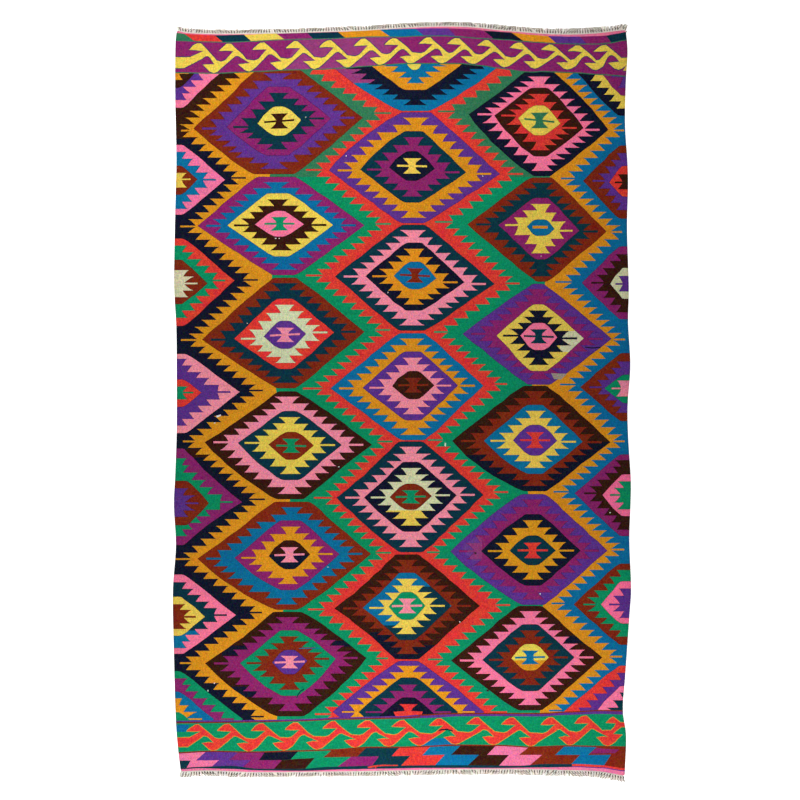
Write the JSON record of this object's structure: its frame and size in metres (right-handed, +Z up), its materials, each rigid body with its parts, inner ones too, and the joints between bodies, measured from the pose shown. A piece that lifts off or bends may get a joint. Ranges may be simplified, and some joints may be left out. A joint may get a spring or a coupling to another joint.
{
  "type": "kilim rug",
  "caption": "Flat-woven wool rug with serrated diamonds in many colours, narrow patterned end bands and a short cut fringe at both ends, lying flat.",
  "frame": {"origin": "on the floor, under the middle of the rug's footprint, its fringes included", "axes": "+Z up from the floor through the cloth, +Y along the warps towards the end with the yellow running border, +X along the wefts"},
  "size_m": [1.8322, 3.0382, 0.003],
  "materials": {
    "kilim_wool": "matt flat-woven wool in navy, teal, browns, reds, orange, yellow, cream, pink, magenta, purple, green and blue",
    "warp_ends": "matt undyed warp yarn, off-white with grey-brown flecks"
  },
  "bodies": {
    "root": {"kilim_cloth": "kilim_wool", "fringe_top": "warp_ends", "fringe_bottom": "warp_ends"}
  },
  "joints": []
}
